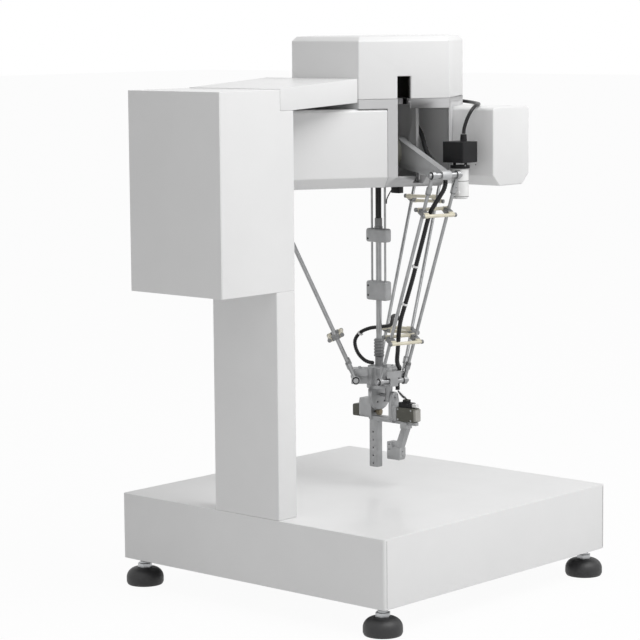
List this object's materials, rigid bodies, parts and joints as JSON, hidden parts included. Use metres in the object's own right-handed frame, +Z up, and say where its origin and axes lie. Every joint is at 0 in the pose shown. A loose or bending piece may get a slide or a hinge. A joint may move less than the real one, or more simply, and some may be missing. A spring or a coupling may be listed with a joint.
{
  "type": "delta robot",
  "caption": "Benchtop delta robot: base, rear post with cabinet, hexagonal head, three arms with rod pairs, turning telescopic shaft, tilting wrist and sliding gripper.",
  "frame": {"origin": "centre of the footprint, on the floor under the foot pads", "axes": "+X right, +Y from the control cabinet towards the front, +Z up"},
  "size_m": [0.613, 0.7345, 0.951],
  "materials": {
    "white_paint": "satin powder coat",
    "grey_paint": "satin powder coat",
    "steel": "fine brushed",
    "aluminium": "satin anodised",
    "dark_aluminium": "satin anodised",
    "motor_black": "satin",
    "black_plastic": "matte",
    "white_plastic": "satin",
    "cream_plastic": "satin",
    "rubber": "matte",
    "brass": "satin"
  },
  "bodies": {
    "stand": {"base_cover": "white_paint", "base_frame": "grey_paint", "post": "white_paint", "cabinet": "white_paint", "cabinet_cover": "white_paint", "control_units": "motor_black", "beam": "white_paint", "head_frame": "grey_paint", "head_cover": "white_paint", "motor_housing_a": "white_paint", "motor_housing_b": "white_paint", "motor_housing_c": "white_paint", "drive_motors": "motor_black", "vision_camera": "motor_black", "camera_bracket": "aluminium", "camera_cable": "black_plastic", "home_sensor": "black_plastic", "sensor_cable": "black_plastic", "arm_hose": "black_plastic"},
    "lens": {"camera_lens": "white_plastic"},
    "platform": {"platform": "aluminium", "platform_axles": "steel", "rod_hose": "black_plastic", "branch_hose": "black_plastic", "wrist_lead": "black_plastic"},
    "shaft": {"shaft_yoke": "aluminium", "guide_rods": "steel", "guide_block": "dark_aluminium"},
    "wrist": {"slide_block": "dark_aluminium", "sliding_shaft": "steel", "cable_tube": "black_plastic", "shaft_coupling": "dark_aluminium", "wrist_sector": "aluminium"},
    "hand": {"tilt_frame": "aluminium", "tilt_motor": "motor_black", "grip_motor": "motor_black", "fixed_finger": "aluminium"},
    "pinion": {"tilt_pinion": "brass"},
    "jaw": {"jaw_finger": "aluminium"},
    "foot_a": {"foot_pad_a": "rubber", "foot_stem_a": "steel"},
    "foot_b": {"foot_pad_b": "rubber", "foot_stem_b": "steel"},
    "foot_c": {"foot_pad_c": "rubber", "foot_stem_c": "steel"},
    "foot_d": {"foot_pad_d": "rubber", "foot_stem_d": "steel"},
    "arm_a": {"upper_arm_a": "aluminium", "arm_axle_a": "steel"},
    "rods_a": {"rod_pair_a": "steel", "spring_bars_a": "cream_plastic"},
    "arm_b": {"upper_arm_b": "aluminium", "arm_axle_b": "steel"},
    "rods_b": {"rod_pair_b": "steel", "spring_bars_b": "cream_plastic"},
    "arm_c": {"upper_arm_c": "aluminium", "arm_axle_c": "steel"},
    "rods_c": {"rod_pair_c": "steel", "spring_bars_c": "cream_plastic"}
  },
  "joints": [
    {"name": "foot_screw_a", "type": "slide", "parent": "stand", "child": "foot_a", "axis": [0, 0, -1], "range_m": [0, 0.012]},
    {"name": "foot_screw_b", "type": "slide", "parent": "stand", "child": "foot_b", "axis": [0, 0, -1], "range_m": [0, 0.012]},
    {"name": "foot_screw_c", "type": "slide", "parent": "stand", "child": "foot_c", "axis": [0, 0, -1], "range_m": [0, 0.012]},
    {"name": "foot_screw_d", "type": "slide", "parent": "stand", "child": "foot_d", "axis": [0, 0, -1], "range_m": [0, 0.012]},
    {"name": "lens_focus", "type": "hinge", "parent": "stand", "child": "lens", "pos_m": [0.186, 0.099, 0], "axis": [0, 0, 1], "range_deg": [0, 90]},
    {"name": "platform_lift", "type": "slide", "parent": "stand", "child": "platform", "axis": [0, 0, 1], "range_m": [-0.03, 0.035]},
    {"name": "shoulder_a", "type": "hinge", "parent": "stand", "child": "arm_a", "pos_m": [0.06407, 0.08441, 0.753], "axis": [0.2924, 0.9563, 0], "range_deg": [-13.2, 11.4], "deforming": ["arm_hose"]},
    {"name": "elbow_a", "type": "hinge", "parent": "arm_a", "child": "rods_a", "pos_m": [0.19872, 0.04325, 0.72049], "axis": [0.2924, 0.9563, 0], "range_deg": [-12.4, 14.4], "deforming": ["rod_hose"]},
    {"name": "shoulder_b", "type": "hinge", "parent": "stand", "child": "arm_b", "pos_m": [-0.01507, 0.16928, 0.753], "axis": [-0.9744, -0.225, 0], "range_deg": [-13.2, 11.4]},
    {"name": "elbow_b", "type": "hinge", "parent": "arm_b", "child": "rods_b", "pos_m": [-0.04674, 0.30647, 0.72049], "axis": [-0.9744, -0.225, 0], "range_deg": [-12.4, 14.4]},
    {"name": "shoulder_c", "type": "hinge", "parent": "stand", "child": "arm_c", "pos_m": [-0.049, 0.05831, 0.753], "axis": [0.682, -0.7314, 0], "range_deg": [-13.2, 11.4]},
    {"name": "elbow_c", "type": "hinge", "parent": "arm_c", "child": "rods_c", "pos_m": [-0.15197, -0.03772, 0.72049], "axis": [0.682, -0.7314, 0], "range_deg": [-12.4, 14.4]},
    {"name": "wrist_turn", "type": "hinge", "parent": "platform", "child": "wrist", "pos_m": [0, 0.104, 0.35318], "axis": [0, 0, 1], "range_deg": [-90, 90], "deforming": ["wrist_lead"]},
    {"name": "shaft_turn", "type": "hinge", "parent": "stand", "child": "shaft", "pos_m": [0, 0.104, 0.65318], "axis": [0, 0, 1], "range_deg": [-92, 92], "deforming": ["sensor_cable"]},
    {"name": "wrist_tilt", "type": "hinge", "parent": "wrist", "child": "hand", "pos_m": [0, 0.104, 0.32418], "axis": [1, 0, 0], "range_deg": [-35, 35]},
    {"name": "pinion_turn", "type": "hinge", "parent": "hand", "child": "pinion", "pos_m": [0, 0.104, 0.29298], "axis": [1, 0, 0], "range_deg": [-177, 177]},
    {"name": "grip_slide", "type": "slide", "parent": "hand", "child": "jaw", "axis": [-1, 0, 0], "range_m": [0, 0.016]}
  ],
  "couplings": [
    {"joint": "shoulder_a", "follows": "platform_lift", "rad_per_m": -6.4322},
    {"joint": "elbow_a", "follows": "platform_lift", "rad_per_m": 7.0014},
    {"joint": "shoulder_b", "follows": "platform_lift", "rad_per_m": -6.4322},
    {"joint": "elbow_b", "follows": "platform_lift", "rad_per_m": 7.0014},
    {"joint": "shoulder_c", "follows": "platform_lift", "rad_per_m": -6.4322},
    {"joint": "elbow_c", "follows": "platform_lift", "rad_per_m": 7.0014},
    {"joint": "shaft_turn", "follows": "wrist_turn", "ratio": 1},
    {"joint": "pinion_turn", "follows": "wrist_tilt", "ratio": 5}
  ]
}
